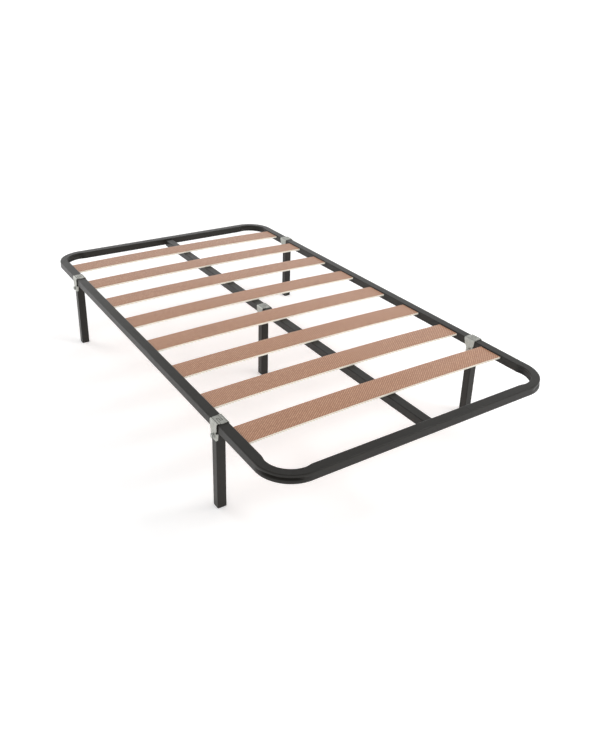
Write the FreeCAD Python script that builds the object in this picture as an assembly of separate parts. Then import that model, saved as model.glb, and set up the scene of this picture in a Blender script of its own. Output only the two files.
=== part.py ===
import FreeCAD, Part

"""Slatted metal bed base: bent tube perimeter, centre bar, eight bowed slats, five clamp-on legs.

Millimetres. +X is across the bed, +Y runs from the foot end to the head end, +Z is up.
The origin is on the floor, under the middle of the bed. Each piece is written to parts/NODE.step.
"""

import math
import os

from FreeCAD import Vector

# ---- driving dimensions ----------------------------------------------------------------------

BED_WIDTH = 1050.0
BED_LENGTH = 1900.0
FRAME_TOP = 297.0            # height of the perimeter tube's top face above the floor

RAIL_WIDTH = 34.0            # perimeter tube, seen from above
RAIL_HEIGHT = 28.0
RAIL_WALL = 1.5
RAIL_EDGE_RADIUS = 3.0
BEND_RADIUS = 110.0          # outside radius of the four corners

OUTER_GROOVE_RADIUS = 9.0    # the bends' outer wall folds in along a groove
OUTER_GROOVE_DEPTH = 5.0
INNER_DENT_RADIUS = 16.0     # and their inner wall is pressed back by the bending die
INNER_DENT_DEPTH = 7.0
DENT_FADE = 0.5              # how far clear of the wall each cutter is where the bend begins

SEAM_X = 152.0               # butt weld that closes the perimeter tube, on the foot rail
SEAM_WIDTH = 3.0
SEAM_HEIGHT = 0.3

BAR_X = 12.0                 # centre bar, cut from the same tube
BAR_DROP = 5.5               # its top face, below the perimeter tube's top face
BAR_WELD_LEG = 3.0

SLAT_COUNT = 8
SLAT_WIDTH = 90.0
SLAT_THICKNESS = 7.0
SLAT_PITCH = 208.0
SLAT_SHIFT = 25.0            # the row of slats sits this far towards the head end
SLAT_BOW = 7.0               # rise at the middle over the ends
SLAT_INSERTION = 20.0        # length of slat inside the side rail
SLAT_END_DROP = 4.6          # top of the slat's ends, below the perimeter tube's top face
SLAT_EDGE_RADIUS = 1.0

SLEEVE_WALL = 0.8            # plastic sleeve around each slat end
SLEEVE_PLAY_Z = 0.6
SLEEVE_PLAY_Y = 0.5
SLEEVE_DEPTH = 24.0
SLOT_CLEARANCE = 0.15

LEG_SIDE = 30.0
LEG_WALL = 1.5
LEG_EDGE_RADIUS = 3.0
LEG_TO_RAIL = 0.5            # gap between the leg's top end and the rail it carries
FOOT_CAP_HEIGHT = 4.0
FOOT_CAP_PLUG = 18.0
FOOT_CAP_CHAMFER = 0.8
LEG_Y_FOOT_LEFT = -613.0
LEG_Y_FOOT_RIGHT = -604.0
LEG_Y_CENTRE = 16.0
LEG_Y_HEAD_LEFT = 641.0
LEG_Y_HEAD_RIGHT = 645.0
LEG_OFFSET = 4.0             # the legs stand this far to one side of their rail's centre line

CLAMP_THICKNESS = 2.0        # pressed-steel jaws
CLAMP_LENGTH = 48.0          # along the rail, over the top
OUTER_SADDLE_LENGTH = 43.0   # the outer jaw's share of the saddle is shorter
JAW_LENGTH = 36.0            # along the rail, down the sides
CLAMP_OVER_RAIL = 0.4        # gap between the saddle and the rail
OUTER_JAW_FACE = 15.5        # inner face of the outer jaw, outboard of the leg's axis
INNER_JAW_FACE = 21.5        # inner face of the inner jaw beside the rail, inboard of the axis
INNER_LOBE_FACE = 15.5       # the same beside the leg, after the jaw's joggle
JOGGLE_TOP = 29.0            # below the rail's top
JOGGLE_HEIGHT = 6.0
JOGGLE_RADIUS = 2.5
FOLD_RADIUS = 4.0            # outer radius of the fold over the rail's edge
SHORT_SHOULDER = 6.0         # one edge narrows this far below the rail's top, the other lower
LONG_SHOULDER = 19.0
SHOULDER_DROP = 7.0          # height of either shoulder's slope
SHOULDER_RADIUS = 2.5
NOTCH_TOP = 26.0             # below the rail's top
NOTCH_BOTTOM = 32.0
NOTCH_DEPTH = 4.0
NOTCH_RADIUS = 1.0
LOBE_BOTTOM = 59.0
LOBE_CORNER_RADIUS = 8.0
FLANGE_DEPTH = 8.0           # turned-in rims of each lobe
FLANGE_TOP = 31.0
HOOK_NEAR = 14.0             # slits of the hooked seam, from the outer jaw's outer face
HOOK_MIDDLE = 20.5
HOOK_FAR = 27.0
HOOK_HALF = 6.5              # half the length of the hooks' overlap
SEAM_GAP = 1.2

BOLT_DROP = 45.0             # bolt axis below the rail's top
BOLT_RADIUS = 4.0
BOLT_HOLE_RADIUS = 4.5
BOLT_SLOT_HALF = 2.0         # the outer jaw's hole is drawn out by this much, up and down
BOLT_HEAD_FLATS = 13.0
BOLT_HEAD_HEIGHT = 5.5
BOLT_END = 27.0              # end of the thread, inboard of the leg's axis
NUT_HEIGHT = 6.5
NUT_BORE_PLAY = 0.05
WASHER_RADIUS = 8.0
WASHER_THICKNESS = 1.6
WASHER_HOLE_RADIUS = 4.2
WASHER_GAP = 0.3
HEAD_GAP = 0.1
HEX_CHAMFER_SHARE = 0.7      # of the gap between the corners and the flats
BOLT_TIP_CHAMFER = 0.8
CAP_PLAY = 0.05
CAP_WALL = 2.0
CUT_MARGIN = 1.0             # how far cutters reach past the faces they cut
OUTLINE_MARGIN = 10.0        # how far trimming shapes reach past the sheet they trim
TRIM_REACH = 40.0            # half the width of the shapes that trim the jaws
TOUCH = 1e-6                 # points closer than this are the same point
ON_END = 0.01                # edges closer than this to an end face lie on it

# ---- values worked out from them -------------------------------------------------------------

HALF_WIDTH = BED_WIDTH / 2.0
HALF_LENGTH = BED_LENGTH / 2.0
RAIL_X = HALF_WIDTH - RAIL_WIDTH / 2.0
RAIL_MIDDLE = FRAME_TOP - RAIL_HEIGHT / 2.0
RAIL_BOTTOM = FRAME_TOP - RAIL_HEIGHT
BEND_X = HALF_WIDTH - BEND_RADIUS
BEND_Y = HALF_LENGTH - BEND_RADIUS
END_RAIL_Y = HALF_LENGTH - RAIL_WIDTH / 2.0
BAR_TOP = FRAME_TOP - BAR_DROP
BAR_HALF_LENGTH = HALF_LENGTH - RAIL_WIDTH
WASHER_OUTER_X = -(OUTER_JAW_FACE + CLAMP_THICKNESS + WASHER_GAP + WASHER_THICKNESS)
X_AXIS = Vector(1, 0, 0)
Y_AXIS = Vector(0, 1, 0)
Z_AXIS = Vector(0, 0, 1)

LEGS = {
    "foot_left": (-(RAIL_X + LEG_OFFSET), LEG_Y_FOOT_LEFT, -1, FRAME_TOP),
    "foot_right": (RAIL_X + LEG_OFFSET, LEG_Y_FOOT_RIGHT, 1, FRAME_TOP),
    "centre": (BAR_X - LEG_OFFSET, LEG_Y_CENTRE, -1, BAR_TOP),
    "head_left": (-(RAIL_X + LEG_OFFSET), LEG_Y_HEAD_LEFT, -1, FRAME_TOP),
    "head_right": (RAIL_X + LEG_OFFSET, LEG_Y_HEAD_RIGHT, 1, FRAME_TOP),
}


# ---- small helpers ---------------------------------------------------------------------------

def in_xz(a, b):
    """Place a section's point in the XZ plane."""
    return Vector(a, 0, b)


def in_yz(a, b):
    """Place a section's point in the YZ plane."""
    return Vector(0, a, b)


def rounded_face(points, radii, place):
    """Flat face from a closed outline, each corner rounded by its own radius."""
    count = len(points)
    corners = []
    for i in range(count):
        here = place(*points[i])
        if radii[i] == 0:
            corners.append((here, None, here))
            continue
        before = place(*points[i - 1]) - here
        after = place(*points[(i + 1) % count]) - here
        half_angle = before.getAngle(after) / 2.0
        reach = radii[i] / math.tan(half_angle)
        before.normalize()
        after.normalize()
        bisector = before + after
        bisector.normalize()
        middle = here + bisector * (radii[i] / math.sin(half_angle) - radii[i])
        corners.append((here + before * reach, middle, here + after * reach))
    edges = []
    for i, (start, middle, end) in enumerate(corners):
        if middle is not None:
            edges.append(Part.Arc(start, middle, end).toShape())
        following = corners[(i + 1) % count][0]
        if end.distanceToPoint(following) > TOUCH:
            edges.append(Part.makeLine(end, following))
    return Part.Face(Part.Wire(edges))


def tube_section(width, height, radius):
    """Rounded rectangle in the XZ plane, centred on the origin."""
    w = width / 2.0
    h = height / 2.0
    return rounded_face([(-w, -h), (w, -h), (w, h), (-w, h)], [radius] * 4, in_xz)


def bar_along_y(width, height, radius, length):
    """Rounded bar centred on the Y axis, from y = 0 to y = length."""
    return tube_section(width, height, radius).extrude(Vector(0, length, 0))


def bar_upright(side, radius, z_low, z_high):
    """Square bar with rounded edges, standing on the Z axis."""
    bar = bar_along_y(side, side, radius, z_high - z_low)
    bar.rotate(Vector(0, 0, 0), X_AXIS, 90)
    bar.translate(Vector(0, 0, z_low))
    return bar


def box(low, high):
    """Block between two corners."""
    return Part.makeBox(high[0] - low[0], high[1] - low[1], high[2] - low[2], Vector(*low))


def cylinder_x(radius, x_low, x_high, z):
    """Cylinder along X, in the plane y = 0."""
    return Part.makeCylinder(radius, x_high - x_low, Vector(x_low, 0, z), X_AXIS)


def hexagon_x(flats, x_low, x_high, z):
    """Hexagonal prism along X with chamfered corners at both ends."""
    corner = flats / math.sqrt(3.0)
    points = []
    for i in range(7):
        angle = math.radians(60 * i)
        points.append(Vector(x_low, corner * math.cos(angle), z + corner * math.sin(angle)))
    prism = Part.Face(Part.makePolygon(points)).extrude(Vector(x_high - x_low, 0, 0))
    round_off = cylinder_x(corner, x_low, x_high, z)
    chamfer = (corner - flats / 2.0) * HEX_CHAMFER_SHARE
    rims = [e for e in round_off.Edges if e.BoundBox.XLength < ON_END]
    return prism.common(round_off.makeChamfer(chamfer, rims))


def export(name, shape):
    """Write one piece, checked to be closed and valid, to its STEP file."""
    solids = shape.Solids
    if not solids or not all(s.isValid() for s in solids):
        raise ValueError(name + " is not a valid solid")
    piece = solids[0] if len(solids) == 1 else Part.makeCompound(solids)
    piece.exportStep("parts/" + name + ".step")
    print(name, len(solids), "solid(s)", round(piece.Volume / 1000.0, 2), "cm3")


# ---- perimeter tube --------------------------------------------------------------------------

def bend_cutter(shift, path_radius, tube_radius):
    """Torus about an axis shifted along the bisector of the bend at +X +Y."""
    step = shift / math.sqrt(2.0)
    centre = Vector(BEND_X + step, BEND_Y + step, RAIL_MIDDLE)
    return Part.makeTorus(path_radius, tube_radius, centre, Z_AXIS)


def bend_dents(grow):
    """Cutters for the outer groove and the inner dent, which fade out at the bend's two ends."""
    fade = 1.0 - math.sqrt(0.5)
    outer_shift = (OUTER_GROOVE_DEPTH + DENT_FADE) / fade
    outer_path = BEND_RADIUS - OUTER_GROOVE_DEPTH + OUTER_GROOVE_RADIUS + outer_shift
    inner_shift = (INNER_DENT_DEPTH + DENT_FADE) / fade
    inner_path = BEND_RADIUS - RAIL_WIDTH + INNER_DENT_DEPTH - INNER_DENT_RADIUS - inner_shift
    return [
        bend_cutter(-outer_shift, outer_path, OUTER_GROOVE_RADIUS + grow),
        bend_cutter(inner_shift, inner_path, INNER_DENT_RADIUS + grow),
    ]


def bend(inset):
    """Quarter bend at +X +Y, its section inset on every side, with its groove and dent."""
    face = tube_section(RAIL_WIDTH - 2 * inset, RAIL_HEIGHT - 2 * inset, RAIL_EDGE_RADIUS - inset)
    face.translate(Vector(RAIL_X, BEND_Y, RAIL_MIDDLE))
    quarter = face.revolve(Vector(BEND_X, BEND_Y, 0), Z_AXIS, 90)
    for cutter in bend_dents(inset):
        quarter = quarter.cut(cutter)
    return quarter


def closed_loop(inset):
    """The whole perimeter as one solid bar, inset on every side."""
    width = RAIL_WIDTH - 2 * inset
    height = RAIL_HEIGHT - 2 * inset
    radius = RAIL_EDGE_RADIUS - inset
    pieces = []
    corner = bend(inset)
    for sign in (-1, 1):
        side = bar_along_y(width, height, radius, 2 * BEND_Y)
        side.translate(Vector(sign * RAIL_X, -BEND_Y, RAIL_MIDDLE))
        end = bar_along_y(width, height, radius, 2 * BEND_X)
        end.rotate(Vector(0, 0, 0), Z_AXIS, -90)
        end.translate(Vector(-BEND_X, sign * END_RAIL_Y, RAIL_MIDDLE))
        near = corner if sign > 0 else corner.mirror(Vector(0, 0, 0), Y_AXIS)
        pieces += [side, end, near, near.mirror(Vector(0, 0, 0), X_AXIS)]
    return pieces[0].multiFuse(pieces[1:])


def slat_centres():
    """Y of each slat, from the head end to the foot end."""
    middle = (SLAT_COUNT - 1) / 2.0
    return [SLAT_SHIFT + SLAT_PITCH * (middle - i) for i in range(SLAT_COUNT)]


def slat_end_block(side, y, x_low, x_high, grow):
    """Block around one slat end, grown in Y and Z; the X limits are depths into the rail."""
    inner_face = HALF_WIDTH - RAIL_WIDTH
    x_ends = sorted((side * (inner_face + x_low), side * (inner_face + x_high)))
    half = SLAT_WIDTH / 2.0 + SLEEVE_PLAY_Y + grow
    top = FRAME_TOP - SLAT_END_DROP + SLEEVE_PLAY_Z + grow
    bottom = FRAME_TOP - SLAT_END_DROP - SLAT_THICKNESS - SLEEVE_PLAY_Z - grow
    return box((x_ends[0], y - half, bottom), (x_ends[1], y + half, top))


def perimeter_tube():
    """Bent tube with a punched slot for each slat end."""
    tube = closed_loop(0.0).cut(closed_loop(RAIL_WALL))
    slots = []
    for y in slat_centres():
        for side in (-1, 1):
            slots.append(slat_end_block(side, y, -CUT_MARGIN, SLEEVE_DEPTH / 2.0,
                                        SLEEVE_WALL + SLOT_CLEARANCE))
    return tube.cut(Part.makeCompound(slots)).removeSplitter()


def perimeter_weld():
    """Bead around the butt joint that closes the perimeter."""
    grow = 2 * SEAM_HEIGHT
    ring = bar_along_y(RAIL_WIDTH + grow, RAIL_HEIGHT + grow, RAIL_EDGE_RADIUS + SEAM_HEIGHT,
                       SEAM_WIDTH)
    ring = ring.cut(bar_along_y(RAIL_WIDTH, RAIL_HEIGHT, RAIL_EDGE_RADIUS, SEAM_WIDTH))
    ring.rotate(Vector(0, 0, 0), Z_AXIS, -90)
    ring.translate(Vector(SEAM_X - SEAM_WIDTH / 2.0, -END_RAIL_Y, RAIL_MIDDLE))
    return ring


# ---- centre bar ------------------------------------------------------------------------------

def centre_bar():
    """Straight tube between the two end rails."""
    length = 2 * BAR_HALF_LENGTH
    width = RAIL_WIDTH - 2 * RAIL_WALL
    height = RAIL_HEIGHT - 2 * RAIL_WALL
    bar = bar_along_y(RAIL_WIDTH, RAIL_HEIGHT, RAIL_EDGE_RADIUS, length)
    bar = bar.cut(bar_along_y(width, height, RAIL_EDGE_RADIUS - RAIL_WALL, length))
    bar.translate(Vector(BAR_X, -BAR_HALF_LENGTH, BAR_TOP - RAIL_HEIGHT / 2.0))
    return bar


def bar_weld(end):
    """Two fillet beads where the bar meets an end rail; end is -1 at the foot, 1 at the head."""
    beads = []
    corner_y = end * BAR_HALF_LENGTH
    low = RAIL_BOTTOM + RAIL_EDGE_RADIUS
    high = BAR_TOP - RAIL_EDGE_RADIUS
    for side in (-1, 1):
        x = BAR_X + side * RAIL_WIDTH / 2.0
        triangle = Part.makePolygon([
            Vector(x, corner_y, low),
            Vector(x + side * BAR_WELD_LEG, corner_y, low),
            Vector(x, corner_y - end * BAR_WELD_LEG, low),
            Vector(x, corner_y, low)])
        beads.append(Part.Face(triangle).extrude(Vector(0, 0, high - low)))
    return Part.makeCompound(beads)


# ---- slats -----------------------------------------------------------------------------------

def slat(y):
    """Bowed slat: a band between two concentric arcs, with its long edges eased."""
    half = HALF_WIDTH - RAIL_WIDTH + SLAT_INSERTION
    top_end = FRAME_TOP - SLAT_END_DROP
    arc_radius = (half ** 2 + SLAT_BOW ** 2) / (2.0 * SLAT_BOW)
    centre_z = top_end + SLAT_BOW - arc_radius
    inner_scale = 1.0 - SLAT_THICKNESS / arc_radius

    def point(x, z, scale):
        return Vector(x * scale, y - SLAT_WIDTH / 2.0, centre_z + (z - centre_z) * scale)

    top = [point(-half, top_end, 1), point(0, top_end + SLAT_BOW, 1), point(half, top_end, 1)]
    under = [point(half, top_end, inner_scale), point(0, top_end + SLAT_BOW, inner_scale),
             point(-half, top_end, inner_scale)]
    wire = Part.Wire([Part.Arc(*top).toShape(), Part.makeLine(top[2], under[0]),
                      Part.Arc(*under).toShape(), Part.makeLine(under[2], top[0])])
    board = Part.Face(wire).extrude(Vector(0, SLAT_WIDTH, 0))
    long_edges = [e for e in board.Edges if e.Curve.TypeId == "Part::GeomCircle"]
    return board.makeFillet(SLAT_EDGE_RADIUS, long_edges)


def slat_sleeves(y):
    """Pair of plastic sleeves that hold one slat's ends inside the side rails."""
    sleeves = []
    for side in (-1, 1):
        sleeve = slat_end_block(side, y, 0.0, SLEEVE_DEPTH, SLEEVE_WALL)
        pocket = slat_end_block(side, y, -CUT_MARGIN, SLEEVE_DEPTH - SLEEVE_WALL, 0.0)
        sleeves.append(sleeve.cut(pocket))
    return Part.makeCompound(sleeves)


# ---- leg assembly, built about the leg's axis with the outer side of the bed at -X ------------

def leg_tube(leg_top, bolt_z):
    """Square leg, open at both ends, with a bolt hole across it."""
    hollow = LEG_SIDE - 2 * LEG_WALL
    tube = bar_upright(LEG_SIDE, LEG_EDGE_RADIUS, FOOT_CAP_HEIGHT, leg_top)
    tube = tube.cut(bar_upright(hollow, LEG_EDGE_RADIUS - LEG_WALL, FOOT_CAP_HEIGHT, leg_top))
    return tube.cut(cylinder_x(BOLT_HOLE_RADIUS, -LEG_SIDE, LEG_SIDE, bolt_z))


def foot_cap():
    """Push-in plastic foot: a plate the size of the leg and a hollow plug."""
    plate = bar_upright(LEG_SIDE, LEG_EDGE_RADIUS, 0.0, FOOT_CAP_HEIGHT)
    rim = [e for e in plate.Edges if e.BoundBox.ZMax < ON_END]
    plate = plate.makeChamfer(FOOT_CAP_CHAMFER, rim)
    plug_top = FOOT_CAP_HEIGHT + FOOT_CAP_PLUG
    outer = LEG_SIDE - 2 * LEG_WALL - 2 * CAP_PLAY
    inner = outer - 2 * CAP_WALL
    plug = bar_upright(outer, LEG_EDGE_RADIUS - LEG_WALL, FOOT_CAP_HEIGHT, plug_top)
    plug = plug.cut(bar_upright(inner, CAP_WALL / 2.0, FOOT_CAP_HEIGHT, plug_top))
    return plate.fuse(plug)


def jaw_outline(top, saddle_length):
    """Side outline of a jaw: saddle, one low and one high shoulder, a notch, the rounded lobe."""
    saddle = saddle_length / 2.0
    half = JAW_LENGTH / 2.0
    waist = half - NOTCH_DEPTH
    corners = [
        (saddle, OUTLINE_MARGIN, 0),
        (saddle, -LONG_SHOULDER, SHOULDER_RADIUS),
        (half, -LONG_SHOULDER - SHOULDER_DROP, SHOULDER_RADIUS),
        (half, -LOBE_BOTTOM, LOBE_CORNER_RADIUS),
        (-half, -LOBE_BOTTOM, LOBE_CORNER_RADIUS),
        (-half, -NOTCH_BOTTOM, NOTCH_RADIUS),
        (-waist, -NOTCH_BOTTOM, NOTCH_RADIUS),
        (-waist, -NOTCH_TOP, NOTCH_RADIUS),
        (-half, -NOTCH_TOP, NOTCH_RADIUS),
        (-half, -SHORT_SHOULDER - SHOULDER_DROP, SHOULDER_RADIUS),
        (-saddle, -SHORT_SHOULDER, SHOULDER_RADIUS),
        (-saddle, OUTLINE_MARGIN, 0)]
    outline = [(y, top + z) for y, z, radius in corners]
    face = rounded_face(outline, [radius for y, z, radius in corners], in_yz)
    face.translate(Vector(-TRIM_REACH, 0, 0))
    return face.extrude(Vector(2 * TRIM_REACH, 0, 0))


def seam_region(side, z_low, z_high):
    """Prism over one jaw's share of the saddle; side is -1 for the outer jaw, 1 for the inner."""
    edge = -(OUTER_JAW_FACE + CLAMP_THICKNESS)
    shift = side * SEAM_GAP / 2.0
    near = edge + HOOK_NEAR + shift
    middle = edge + HOOK_MIDDLE - shift
    far = edge + HOOK_FAR + shift
    line = [(far, CLAMP_LENGTH), (far, -HOOK_HALF - shift), (middle, -HOOK_HALF - shift),
            (middle, HOOK_HALF - shift), (near, HOOK_HALF - shift), (near, -CLAMP_LENGTH)]
    beyond = side * TRIM_REACH
    points = line + [(beyond, -CLAMP_LENGTH), (beyond, CLAMP_LENGTH)]
    wire = Part.makePolygon([Vector(x, y, z_low) for x, y in points + points[:1]])
    return Part.Face(wire).extrude(Vector(0, 0, z_high - z_low))


def flanges(jaw_face, side, top, flange_top):
    """The turned-in rims of a lobe, along the leg's other two faces."""
    half = JAW_LENGTH / 2.0
    x_ends = sorted((side * (jaw_face + CLAMP_THICKNESS / 2.0),
                     side * (jaw_face + CLAMP_THICKNESS - FLANGE_DEPTH)))
    low = top - LOBE_BOTTOM
    high = top - flange_top
    return [box((x_ends[0], -half, low), (x_ends[1], -half + CLAMP_THICKNESS, high)),
            box((x_ends[0], half - CLAMP_THICKNESS, low), (x_ends[1], half, high))]


def jaw(profile, radii, side, rims, top, saddle_length):
    """Pressed jaw from its XZ profile, trimmed to its outline and its share of the saddle."""
    sheet = rounded_face(profile, radii, in_xz).extrude(Vector(0, CLAMP_LENGTH, 0))
    sheet.translate(Vector(0, -CLAMP_LENGTH / 2.0, 0))
    whole = sheet.multiFuse(rims).common(jaw_outline(top, saddle_length))
    region = seam_region(side, top - LOBE_BOTTOM - CUT_MARGIN, top + OUTLINE_MARGIN)
    return whole.common(region).removeSplitter()


def outer_jaw(top):
    """Jaw under the bolt head: hooked saddle, flat plate and flanged lobe."""
    under = top + CLAMP_OVER_RAIL
    over = under + CLAMP_THICKNESS
    low = top - LOBE_BOTTOM
    inside = -OUTER_JAW_FACE
    outside = inside - CLAMP_THICKNESS
    reach = outside + HOOK_FAR + SEAM_GAP
    profile = [(outside, over), (reach, over), (reach, under), (inside, under), (inside, low),
               (outside, low)]
    radii = [FOLD_RADIUS, 0, 0, FOLD_RADIUS - CLAMP_THICKNESS, 0, 0]
    rims = flanges(OUTER_JAW_FACE, -1, top, FLANGE_TOP)
    body = jaw(profile, radii, -1, rims, top, OUTER_SADDLE_LENGTH)
    bolt_z = top - BOLT_DROP
    start = outside - CUT_MARGIN
    end = inside + CUT_MARGIN
    hole = box((start, -BOLT_HOLE_RADIUS, bolt_z - BOLT_SLOT_HALF),
               (end, BOLT_HOLE_RADIUS, bolt_z + BOLT_SLOT_HALF))
    for shift in (-BOLT_SLOT_HALF, BOLT_SLOT_HALF):
        hole = hole.fuse(cylinder_x(BOLT_HOLE_RADIUS, start, end, bolt_z + shift))
    return body.cut(hole)


def inner_jaw(top):
    """Jaw under the nut: hooked saddle, plate beside the rail, joggle and flanged lobe."""
    under = top + CLAMP_OVER_RAIL
    over = under + CLAMP_THICKNESS
    low = top - LOBE_BOTTOM
    step_top = top - JOGGLE_TOP
    step_low = step_top - JOGGLE_HEIGHT
    plate = (INNER_JAW_FACE, INNER_JAW_FACE + CLAMP_THICKNESS)
    lobe = (INNER_LOBE_FACE, INNER_LOBE_FACE + CLAMP_THICKNESS)
    reach = -(OUTER_JAW_FACE + CLAMP_THICKNESS) + HOOK_NEAR - SEAM_GAP
    profile = [(plate[1], over), (reach, over), (reach, under), (plate[0], under),
               (plate[0], step_top), (lobe[0], step_low), (lobe[0], low), (lobe[1], low),
               (lobe[1], step_low), (plate[1], step_top)]
    radii = [FOLD_RADIUS, 0, 0, FOLD_RADIUS - CLAMP_THICKNESS, JOGGLE_RADIUS, JOGGLE_RADIUS, 0, 0,
             JOGGLE_RADIUS, JOGGLE_RADIUS]
    rims = flanges(INNER_LOBE_FACE, 1, top, JOGGLE_TOP + JOGGLE_HEIGHT)
    body = jaw(profile, radii, 1, rims, top, CLAMP_LENGTH)
    return body.cut(cylinder_x(BOLT_HOLE_RADIUS, lobe[0] - CUT_MARGIN, lobe[1] + CUT_MARGIN,
                               top - BOLT_DROP))


def clamp_bolt(bolt_z):
    """Hexagon bolt whose head is outboard."""
    under_head = WASHER_OUTER_X - HEAD_GAP
    head = hexagon_x(BOLT_HEAD_FLATS, under_head - BOLT_HEAD_HEIGHT, under_head, bolt_z)
    shank = cylinder_x(BOLT_RADIUS, under_head, BOLT_END, bolt_z)
    tip = [e for e in shank.Edges if e.BoundBox.XMin > BOLT_END - ON_END]
    return head.fuse(shank.makeChamfer(BOLT_TIP_CHAMFER, tip)).removeSplitter()


def clamp_washer(bolt_z):
    """Flat washer between the bolt head and the outer jaw."""
    disc = cylinder_x(WASHER_RADIUS, WASHER_OUTER_X, WASHER_OUTER_X + WASHER_THICKNESS, bolt_z)
    return disc.cut(cylinder_x(WASHER_HOLE_RADIUS, WASHER_OUTER_X - CUT_MARGIN, 0.0, bolt_z))


def clamp_nut(bolt_z):
    """Hexagon nut against the inner jaw."""
    start = INNER_LOBE_FACE + CLAMP_THICKNESS
    nut = hexagon_x(BOLT_HEAD_FLATS, start, start + NUT_HEIGHT, bolt_z)
    return nut.cut(cylinder_x(BOLT_RADIUS + NUT_BORE_PLAY, start - CUT_MARGIN,
                              BOLT_END + CUT_MARGIN, bolt_z))


def leg_assembly(x, y, outward, top):
    """Every piece of one leg, in place."""
    leg_top = top - RAIL_HEIGHT - LEG_TO_RAIL
    bolt_z = top - BOLT_DROP
    pieces = {
        "leg_tube": leg_tube(leg_top, bolt_z),
        "foot_cap": foot_cap(),
        "outer_jaw": outer_jaw(top),
        "inner_jaw": inner_jaw(top),
        "clamp_bolt": clamp_bolt(bolt_z),
        "clamp_washer": clamp_washer(bolt_z),
        "clamp_nut": clamp_nut(bolt_z),
    }
    for piece in pieces.values():
        if outward > 0:
            piece.rotate(Vector(0, 0, 0), Z_AXIS, 180)
        piece.translate(Vector(x, y, 0))
    return pieces


# ---- write every piece -----------------------------------------------------------------------

def main():
    os.makedirs("parts", exist_ok=True)
    export("perimeter_tube", perimeter_tube())
    export("perimeter_weld", perimeter_weld())
    export("centre_bar", centre_bar())
    export("bar_weld_foot", bar_weld(-1))
    export("bar_weld_head", bar_weld(1))
    for number, y in enumerate(slat_centres(), start=1):
        export("slat_%d" % number, slat(y))
        export("slat_sleeves_%d" % number, slat_sleeves(y))
    for place, settings in LEGS.items():
        for piece, shape in leg_assembly(*settings).items():
            export(piece + "_" + place, shape)


main()
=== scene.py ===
# Looks of the slatted metal bed base. Metres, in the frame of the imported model.

import math

import bmesh
import bpy
from mathutils import Matrix, Vector
from mathutils.geometry import delaunay_2d_cdt


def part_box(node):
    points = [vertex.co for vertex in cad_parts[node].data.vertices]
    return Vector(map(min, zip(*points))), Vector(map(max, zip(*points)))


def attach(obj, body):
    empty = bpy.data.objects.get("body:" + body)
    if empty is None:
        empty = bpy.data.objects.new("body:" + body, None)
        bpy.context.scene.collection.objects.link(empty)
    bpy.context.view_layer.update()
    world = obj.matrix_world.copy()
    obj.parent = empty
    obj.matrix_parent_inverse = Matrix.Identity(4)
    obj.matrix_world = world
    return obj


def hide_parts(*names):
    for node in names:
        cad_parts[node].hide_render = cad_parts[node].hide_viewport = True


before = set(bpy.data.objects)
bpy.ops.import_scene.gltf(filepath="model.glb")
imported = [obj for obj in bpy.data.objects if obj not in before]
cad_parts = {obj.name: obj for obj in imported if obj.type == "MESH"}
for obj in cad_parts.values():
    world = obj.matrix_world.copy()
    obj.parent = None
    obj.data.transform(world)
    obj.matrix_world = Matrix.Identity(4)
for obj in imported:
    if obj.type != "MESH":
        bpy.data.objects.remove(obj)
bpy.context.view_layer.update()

MM = 0.001
PLACES = ("foot_left", "foot_right", "centre", "head_left", "head_right")
SLAT_COUNT = sum(1 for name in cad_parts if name.startswith("slat_sleeves_"))

# ---- camera and studio -----------------------------------------------------------------------

CAMERA_AZIMUTH = -33.858
CAMERA_ELEVATION = 23.543
CAMERA_ROLL = 1.686
CAMERA_DISTANCE = 2.8182
CAMERA_AIM_HEIGHT = 0.25
CAMERA_SLIDE = (0.1399, 0.0696)     # along the picture's right and up directions
CAMERA_LENS = 35.03
CAMERA_SHIFT_Y = -0.1
FLOOR_HALF = 30.0

# ---- perimeter tube --------------------------------------------------------------------------

TUBE_LOW, TUBE_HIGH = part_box("perimeter_tube")
BAR_LOW, BAR_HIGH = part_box("centre_bar")
RAIL_WIDTH = TUBE_HIGH.y - BAR_HIGH.y
RAIL_HEIGHT = TUBE_HIGH.z - TUBE_LOW.z
RAIL_MIDDLE = (TUBE_HIGH.z + TUBE_LOW.z) / 2
RAIL_WALL = 1.5 * MM
RAIL_EDGE_RADIUS = 3 * MM
BEND_RADIUS = 110 * MM
BEND_STEPS = 40
SIDE_STEPS = 24                     # rings along a straight side
BEND_LEAD = 44 * MM                 # the straight tube's mesh is finer this near to a bend
LEAD_STEPS = 16
SLOT_STEPS = 3
WALL_STEPS = 8
TOP_STEPS = 10
EDGE_STEPS = 6
FLAT_HALF = RAIL_HEIGHT / 2 - RAIL_EDGE_RADIUS
TOUCH = 1e-6                        # closer than this is the same place

GROOVE_DEPTH = 7.0 * MM             # fold of the outer wall in each bend
GROOVE_LEVEL = 1.5 * MM             # its middle, above the rail's middle
GROOVE_SPREAD = 3.8 * MM
GROOVE_REACH = 13 * MM
GROOVE_FADE = 42 * MM
LIP_DEPTH = 1.2 * MM                # how far the top edge is drawn in above the fold
DENT_DEPTH = 6.0 * MM               # recess that the bending die leaves on the inner wall
DENT_SPREAD = 9 * MM
DENT_REACH = 15 * MM
DENT_START = -20 * MM               # where the recess begins, before the bend, at mid-height
DENT_CRESCENT = 10 * MM             # and how much later it begins at the edges
DENT_RAMP = 8 * MM
INNER_EDGE_SHIFT = 3.8 * MM         # the whole inner wall moves over more gently
INNER_EDGE_START = -22 * MM
INNER_EDGE_RAMP = 26 * MM

WELD_RINGS = 61                     # of the fillets beside the centre bar
WELD_ARC = 7
WELD_ACROSS = 6                     # of the bead round the tube
WELD_RIPPLE = 0.25 * MM

# ---- slats -----------------------------------------------------------------------------------

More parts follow.
